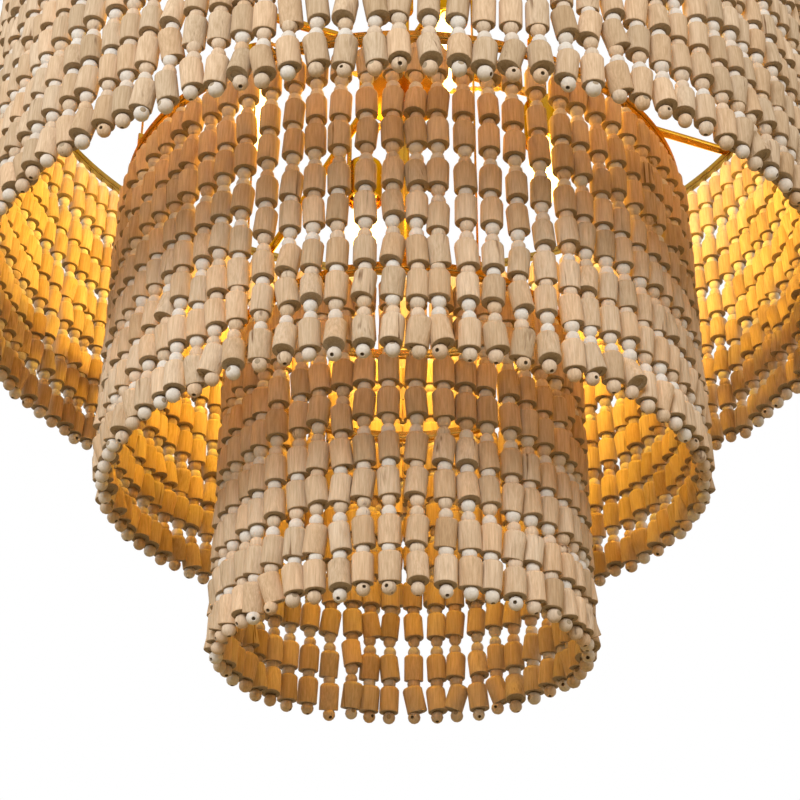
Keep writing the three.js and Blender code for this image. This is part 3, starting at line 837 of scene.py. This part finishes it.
def strand(name, path, radius, resolution):
    """A round wire along a path of points, as a closed mesh."""
    curve = bpy.data.curves.new(name, "CURVE")
    curve.dimensions = "3D"
    curve.bevel_depth = radius
    curve.bevel_resolution = resolution
    curve.use_fill_caps = True
    line = curve.splines.new("POLY")
    line.points.add(len(path) - 1)
    for point, place_of_point in zip(line.points, path):
        point.co = (*place_of_point, 1)
    wire = bpy.data.objects.new(name, curve)
    bpy.context.collection.objects.link(wire)
    work_on(wire)
    bpy.ops.object.convert(target="MESH")
    return close_mesh(bpy.context.object)


def smooth_route(points, steps):
    """Evenly spread places on a smooth curve through the points."""
    route = []
    last = len(points) - 1
    for i in range(last):
        p0, p1, p2, p3 = (Vector(points[min(max(i + k, 0), last)]) for k in (-1, 0, 1, 2))
        for k in range(steps):
            t = k / steps
            route.append(0.5 * (
                2 * p1 + (p2 - p0) * t + (2 * p0 - 5 * p1 + 4 * p2 - p3) * t ** 2
                + (3 * p1 - p0 - 3 * p2 + p3) * t ** 3
            ))
    route.append(Vector(points[last]))
    return route


def make_lead():
    """Two braided strands twisted together, held all the way from the wiring cup to the lamp's cup."""
    lead_radius, strand_radius, twist_pitch = 3 * MM, 1.5 * MM, 17 * MM
    crown_z = CUP_TOP_Z + 16 * MM
    cup_radius = WIRING_CUP_RADIUS
    third = (LAMP_CIRCLE_RADIUS - cup_radius) / 3
    centre_line = smooth_route([
        (cup_radius - 6 * MM, 0, LEAD_EXIT_Z),
        (cup_radius, 0, LEAD_EXIT_Z),
        (cup_radius + 2 * lead_radius, 0, LEAD_EXIT_Z),
        (cup_radius + third, 0, (LEAD_EXIT_Z + crown_z) / 2),
        (cup_radius + 2 * third, 0, crown_z - lead_radius),
        (LAMP_CIRCLE_RADIUS - lead_radius, 0, crown_z - lead_radius),
        (LAMP_CIRCLE_RADIUS, 0, CUP_TOP_Z + lead_radius),
        (LAMP_CIRCLE_RADIUS, 0, CUP_TOP_Z - 1.5 * MM),
    ], 14)
    strands = []
    for side in (0, math.pi):
        path, run = [], 0.0
        for i, here in enumerate(centre_line):
            before, after = centre_line[max(i - 1, 0)], centre_line[min(i + 1, len(centre_line) - 1)]
            run += (here - before).length
            along = (after - before).normalized()
            across = Vector((0, 1, 0))
            up = along.cross(across)
            angle = side + run * math.tau / twist_pitch
            path.append(here + strand_radius * (across * math.cos(angle) + up * math.sin(angle)))
        strands.append(strand("lead_strand", path, strand_radius, 3))
    return joined("lamp_lead", strands)


def make_lamps():
    over_lamp = Matrix.Translation((LAMP_CIRCLE_RADIUS, 0, 0))
    # node, part, master, material, slot, and whether it stands for the node's solid
    masters = [
        ("socket_cup", "spun", place(make_socket_cup(), over_lamp), brass, "brass", True),
        ("lampholder", "glazed", place(make_lampholder(), over_lamp), porcelain, "holder_plastic", True),
        ("lamp_lead", "twisted", make_lead(), lamp_cord, "lamp_cord", True),
        ("bulb", "glass", place(make_bulb_glass_envelope(), over_lamp), bulb_glass, "bulb_glass", True),
        ("bulb", "base", place(make_bulb_base(), over_lamp), brass, "brass", False),
        ("bulb", "filament", place(make_filament(), over_lamp), lit_filament, "bulb_glass", False),
    ]
    for node, part, master, material, slot, stands_for_node in masters:
        for index in range(ARM_COUNT):
            name = f"{node}_{index + 1}"
            copy = placed_copy(master, f"{name}_{part}", arm_turn(LAMP_AZIMUTH, index))
            body = name if node == "bulb" else "root"
            dress(copy, material, body, [name] if stands_for_node else ())
        discard(master)


# Strings of beads


def mark_turning(piece, shows_end_grain_or_painted_shade):
    """Writes each corner's distance from the axis, in millimetres, and which faces show end grain and get
    painted shade.
    """
    marks = piece.data.attributes.new("end_grain", "FLOAT", "FACE")
    marks.data.foreach_set("value", [float(shows_end_grain_or_painted_shade(face)) for face in piece.data.polygons])
    distances = piece.data.attributes.new("from_axis", "FLOAT", "POINT")
    distances.data.foreach_set("value", [vertex.co.xy.length / MM for vertex in piece.data.vertices])


def is_end_grain_or_painted_shade(face):
    """A bead's foot, and the mouth that a ball sits in: end grain, and painted shade on the underside."""
    in_mouth = face.center.z < BEAD_MOUTH_DEPTH * 1.05 and face.center.xy.length < BEAD_MOUTH_RADIUS * 1.05
    return face.center.z < 0.1 * MM or in_mouth


def make_bead_blanks():
    """Four turnings of the bead, which differ as handwork does."""
    forms = [
        # body radius, where the shoulder starts, neck radius
        (1.02, 0.86, 0.60),
        (0.99, 0.89, 0.65),
        (1.04, 0.80, 0.60),
        (1.01, 0.84, 0.66),
    ]
    blanks = []
    for index, (body_share, start_share, neck_share) in enumerate(forms):
        radius = BEAD_RADIUS * body_share
        shoulder_foot = BEAD_HEIGHT * start_share
        shoulder = BEAD_HEIGHT - shoulder_foot
        curve = [(radius * share, shoulder_foot + shoulder * rise) for share, rise in SHOULDER_CURVE]
        blank = turned(f"bead_blank_{index}", [
            (0, BEAD_MOUTH_DEPTH),
            (BEAD_MOUTH_RADIUS, BEAD_MOUTH_DEPTH),
            (BEAD_MOUTH_RADIUS + 0.2 * MM, 0),
            (radius - 0.4 * MM, 0),
            (radius, 0.5 * MM),
            (radius, shoulder_foot),
            *curve,
            (radius * neck_share, BEAD_HEIGHT),
            (0, BEAD_HEIGHT),
        ], BEAD_SIDES)
        mark_turning(blank, is_end_grain_or_painted_shade)
        blanks.append(blank)
    return blanks


def make_ball_blank():
    clear_selection()
    bpy.ops.mesh.primitive_uv_sphere_add(segments=BALL_SIDES, ring_count=8, radius=BALL_RADIUS)
    ball = close_mesh(bpy.context.object, math.pi)
    ball.name = "ball_blank"
    mark_turning(ball, lambda face: False)
    return ball


def make_drilled_ball():
    """The last ball of a string shows its drilled hole, painted darker inside as end grain and painted
    shade.
    """
    outline = [(0, -BALL_RADIUS)]
    rim_angle = math.acos(DRILL_RADIUS * 1.3 / BALL_RADIUS)
    steps = 7
    for i in range(1, steps + 1):
        angle = (rim_angle + math.pi / 2) * i / steps - math.pi / 2
        outline.append((BALL_RADIUS * math.cos(angle), BALL_RADIUS * math.sin(angle)))
    rim_height = BALL_RADIUS * math.sin(rim_angle)
    outline += [
        (DRILL_RADIUS, rim_height - 0.1 * MM),
        (DRILL_RADIUS, rim_height - 4 * MM),
        (0, rim_height - 4 * MM),
    ]
    ball = turned("drilled_ball_blank", outline, BALL_SIDES)
    # The inside of the hole is painted darker: end grain and painted shade.
    mark_turning(ball, lambda face: face.center.xy.length < DRILL_RADIUS)
    return ball


def make_hook_blank():
    """The small wire eye that a string hangs by."""
    clear_selection()
    bpy.ops.mesh.primitive_torus_add(
        major_radius=2.3 * MM, minor_radius=0.45 * MM, major_segments=10, minor_segments=5,
        rotation=(math.pi / 2, 0, 0),
    )
    hook = close_mesh(bpy.context.object, math.pi)
    hook.name = "hook_blank"
    return hook


def paint_look(piece, tone, whiteness, shift):
    look = piece.data.attributes.new("bead_look", "FLOAT_COLOR", "POINT")
    look.data.foreach_set("color", [tone, whiteness, shift, 1.0] * len(piece.data.vertices))


def gap_balls(tier, chance):
    """Balls in each gap from the top down. Some strings have two gaps exchanged."""
    lowest = tier["lowest_gap_balls"]
    upwards = [lowest if i % 2 == 0 else 3 - lowest for i in range(tier["beads"] - 1)]
    if chance.random() < SWAPPED_GAPS_SHARE:
        swap = chance.randrange(len(upwards) - 1)
        upwards[swap], upwards[swap + 1] = upwards[swap + 1], upwards[swap]
    return upwards[::-1]


def string_parts(tier, rail_z, chance):
    """(kind, height) of each part from the top down. A bead's height is that of its foot."""
    parts = [("ball", rail_z - TOP_BALL_SHOW + TOP_BALL_RISE)]
    top = rail_z - TOP_BALL_SHOW
    seat = BALL_RADIUS - BALL_SEAT
    for balls in gap_balls(tier, chance) + [0]:
        foot = top - BEAD_HEIGHT
        parts.append(("bead", foot))
        if balls == 1:
            parts.append(("ball", foot - seat))
            top = foot - ONE_BALL_GAP
        elif balls == 2:
            top = foot - TWO_BALL_GAP
            parts.append(("ball", foot - seat))
            parts.append(("ball", top + seat))
        else:
            parts.append(("last", foot - LAST_BALL_SHOW + BALL_RADIUS))
    return parts


def make_string(tier, radius, azimuth, rail_z, blanks, chance):
    """One string: each part is a copy of its blank, turned, tilted and shifted a little."""
    parts = string_parts(tier, rail_z, chance)
    length = rail_z - parts[-1][1]
    lean = [chance.uniform(-limit, limit) * MM for limit in LEAN_LIMITS]
    bow = [chance.uniform(-limit, limit) * MM for limit in BOW_LIMITS]
    stretch = chance.uniform(*STRETCH_LIMITS)
    pieces = []
    for kind, height in parts:
        drop = rail_z - height
        share = drop / length
        sag = math.sin(math.pi * share)
        shift = [chance.uniform(-PART_SHIFT_LIMIT, PART_SHIFT_LIMIT) * MM for _ in range(2)]
        radial = lean[0] * share + bow[0] * sag + shift[0]
        sideways = lean[1] * share + bow[1] * sag + shift[1]
        spot = Vector((radius + radial, sideways, rail_z - drop * (1 + stretch)))
        spin = about_z(chance.uniform(0, math.tau))
        if kind == "bead":
            blank = blanks["beads"][chance.randrange(len(blanks["beads"]))]
            sway = math.radians(SWAY_SPREAD[0] + SWAY_SPREAD[1] * share ** 3)
            nod = math.radians(NOD_SPREAD[0] + NOD_SPREAD[1] * share ** 3)
            tilt = Matrix.Rotation(chance.gauss(0, sway), 4, "X")
            tilt = tilt @ Matrix.Rotation(chance.gauss(0, nod), 4, "Y")
            size = chance.uniform(*BEAD_SIZE_LIMITS)
            middle = Matrix.Translation((0, 0, BEAD_HEIGHT / 2))
            shape = middle @ tilt @ Matrix.Diagonal((size, size, 1, 1)) @ middle.inverted() @ spin
            whiteness = 0.0
            tone = min(max(chance.gauss(*BEAD_TONE), 0.0), 1.0)
        else:
            blank = blanks["last" if kind == "last" else "ball"]
            size = chance.uniform(*BALL_SIZE_LIMITS)
            if kind == "last":
                spin = about_z(chance.gauss(0, 0.5))
                spin = spin @ Matrix.Rotation(chance.uniform(*HOLE_TURN_LIMITS), 4, "Y")
            shape = spin @ Matrix.Diagonal((size, size, size, 1))
            is_white = chance.random() < WHITE_BALL_SHARE
            whiteness = chance.uniform(*(WHITE_PAINT_LIMITS if is_white else THIN_PAINT_LIMITS))
            tone = chance.uniform(*BALL_TONE_LIMITS)
        piece = placed_copy(blank, "part", about_z(azimuth) @ Matrix.Translation(spot) @ shape)
        paint_look(piece, tone, whiteness, chance.random())
        pieces.append(piece)
    return pieces


def make_rail(name, radius, top_z, arc, middle):
    """A length of bead rail: a strip's section swept round its part of the hoop."""
    width, height, gap = 5 * MM, 2.2 * MM, 0.15 * MM
    half = arc / 2 - gap / radius
    clear_selection()
    bpy.ops.mesh.primitive_plane_add(size=1, location=(0, 0, 0))
    rail = bpy.context.object
    rail.name = name
    section = Matrix.Translation((radius, 0, top_z - height / 2)) @ Matrix.Rotation(math.pi / 2, 4, "X")
    place(rail, about_z(middle - half) @ section @ Matrix.Diagonal((width, height, 1, 1)))
    work_on(rail)
    bpy.ops.object.mode_set(mode="EDIT")
    bpy.ops.mesh.select_all(action="SELECT")
    bpy.ops.mesh.spin(steps=24, angle=2 * half, center=(0, 0, 0), axis=(0, 0, 1))
    bpy.ops.object.mode_set(mode="OBJECT")
    return close_mesh(rail)


def make_tier(number, blanks):
    tier = TIERS[number]
    chance = random.Random(STRING_SEED + number)
    low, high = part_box(f"hoop_{number}")
    radius = high.x - HOOP_WIDTH / 2
    rail_top = low.z - RAIL_GAP
    rail_z = rail_top - STRING_TOP_DROP
    per_group = tier["strings"] // tier["groups"]
    pitch = math.tau / tier["strings"]
    shuffles = [chance.uniform(-CROWDING_LIMIT, CROWDING_LIMIT) for _ in range(tier["strings"] + 1)]
    for group in range(tier["groups"]):
        middle = group * math.tau / tier["groups"]
        node = f"tier_{number}_strings_{group + 1}"
        parts, hooks = [], []
        for i in range(per_group):
            pushed = shuffles[group * per_group + i] + shuffles[group * per_group + i + 1]
            azimuth = middle + (i + 0.5 + pushed - per_group / 2) * pitch
            parts += make_string(tier, radius, azimuth, rail_z, blanks, chance)
            spot = Matrix.Translation((radius, 0, rail_top - HOOK_DROP))
            hooks.append(placed_copy(blanks["hook"], "hook", about_z(azimuth) @ spot))
        beads = joined(f"{node}_beads", parts)
        dress(beads, bead_wood, nodes=[node])
        dress(joined(f"{node}_hooks", hooks), hook_wire)
        rail = make_rail(f"{node}_rail", radius, rail_top, math.tau / tier["groups"], middle)
        dress(rail, hoop_brass)


# Stage, light and camera


def make_stage():
    clear_selection()
    bpy.ops.mesh.primitive_plane_add(size=14, location=(0, 0, FLOOR_Z))
    floor = bpy.context.object
    floor.name = "floor"
    material, tree, surface = new_material("pale_floor")
    surface.inputs["Base Color"].default_value = (0.36, 0.27, 0.13, 1)
    surface.inputs["Roughness"].default_value = 0.9
    shown = add_node(tree, "ShaderNodeBsdfDiffuse", {"Color": (0.8, 0.8, 0.8, 1)})
    lift = add_node(tree, "ShaderNodeEmission", {"Color": (1, 1, 1, 1), "Strength": 0.42})
    pale = add_node(tree, "ShaderNodeAddShader", {0: shown.outputs["BSDF"], 1: lift.outputs["Emission"]})
    mix = add_node(tree, "ShaderNodeMixShader", {
        0: seen_directly(tree), 1: surface.outputs["BSDF"], 2: pale.outputs["Shader"],
    })
    tree.links.new(mix.outputs["Shader"], tree.nodes["Material Output"].inputs["Surface"])
    floor.data.materials.append(material)


def seen_directly(tree):
    """1 for rays that show the surroundings to the camera, straight or in metal and glass.

    It is 0 past the first matt surface, so the white doesn't light the beads by way of the brass.
    """
    path = add_node(tree, "ShaderNodeLightPath").outputs
    straight = work_out(tree, "MAXIMUM", path["Is Camera Ray"], path["Is Glossy Ray"])
    shown = work_out(tree, "MAXIMUM", straight, path["Is Transmission Ray"])
    before_matt = work_out(tree, "LESS_THAN", path["Diffuse Depth"], 0.5)
    return work_out(tree, "MULTIPLY", shown, before_matt)


def make_world():
    world = bpy.data.worlds.new("studio")
    bpy.context.scene.world = world
    world.use_nodes = True
    tree = world.node_tree
    fill = tree.nodes["Background"]
    fill.inputs["Color"].default_value = (1.0, 0.64, 0.22, 1)
    fill.inputs["Strength"].default_value = 0.36
    white = add_node(tree, "ShaderNodeBackground", {"Color": (1, 1, 1, 1), "Strength": 1.0})
    mix = add_node(tree, "ShaderNodeMixShader", {
        0: seen_directly(tree), 1: fill.outputs["Background"], 2: white.outputs["Background"],
    })
    tree.links.new(mix.outputs["Shader"], tree.nodes["World Output"].inputs["Surface"])


def aim(thing, spot, target):
    thing.location = spot
    thing.rotation_euler = (Vector(target) - Vector(spot)).to_track_quat("-Z", "Y").to_euler()


def add_softbox(name, spot, size, power):
    lamp = bpy.data.lights.new(name, "AREA")
    lamp.shape = "DISK"
    lamp.size = size
    lamp.color = (0.94, 0.975, 1.0)
    lamp.energy = power
    softbox = bpy.data.objects.new(name, lamp)
    bpy.context.collection.objects.link(softbox)
    aim(softbox, spot, (0, 0, -0.45))


def add_bulb_glow(index):
    """The light of a lit bulb, warm beside the studio's."""
    lamp = bpy.data.lights.new(f"bulb_glow_{index + 1}", "POINT")
    lamp.color = (1.0, 0.55, 0.02)
    lamp.energy = 2.5
    lamp.shadow_soft_size = 8 * MM
    glow = bpy.data.objects.new(lamp.name, lamp)
    bpy.context.collection.objects.link(glow)
    glow.visible_glossy = False
    glow.location = arm_turn(LAMP_AZIMUTH, index) @ Vector((LAMP_CIRCLE_RADIUS, 0, GLOW_Z))


def make_light():
    """Softboxes by place, width in metres and power in watts, the bulbs' own light, and the world."""
    make_world()
    add_softbox("softbox_front", (-0.6, -3.2, 0.2), 2.0, 84)
    add_softbox("softbox_left", (-3.0, -0.6, 0.6), 1.6, 30)
    add_softbox("softbox_right", (3.0, -0.9, 0.6), 1.6, 30)
    add_softbox("softbox_back", (0.5, 3.2, 0.5), 2.0, 60)
    for index in range(ARM_COUNT):
        add_bulb_glow(index)
    bpy.context.scene.view_settings.view_transform = "Standard"


def make_camera():
    lens = bpy.data.cameras.new("viewpoint")
    camera = bpy.data.objects.new("viewpoint", lens)
    bpy.context.collection.objects.link(camera)
    camera.location = VIEW_SPOT
    camera.rotation_euler = (math.radians(90 + VIEW_RISE), 0, 0)
    lens.sensor_width = VIEW_SENSOR
    lens.lens = VIEW_LENS
    lens.shift_x = VIEW_SHIFT
    lens.clip_start = 0.05
    bpy.context.scene.camera = camera


def make_chandelier():
    make_hang_loop()
    make_collar()
    make_stem()
    make_hub()
    make_spokes()
    make_wiring_cup()
    make_column()
    make_thumb_screw()
    make_lamps()
    blanks = {
        "beads": make_bead_blanks(),
        "ball": make_ball_blank(),
        "last": make_drilled_ball(),
        "hook": make_hook_blank(),
    }
    for number in TIERS:
        make_hoop(number)
        if number > 1:
            make_hangers(number)
        make_tier(number, blanks)
    discard(*blanks["beads"], blanks["ball"], blanks["last"], blanks["hook"])


make_chandelier()
make_stage()
make_light()
make_camera()
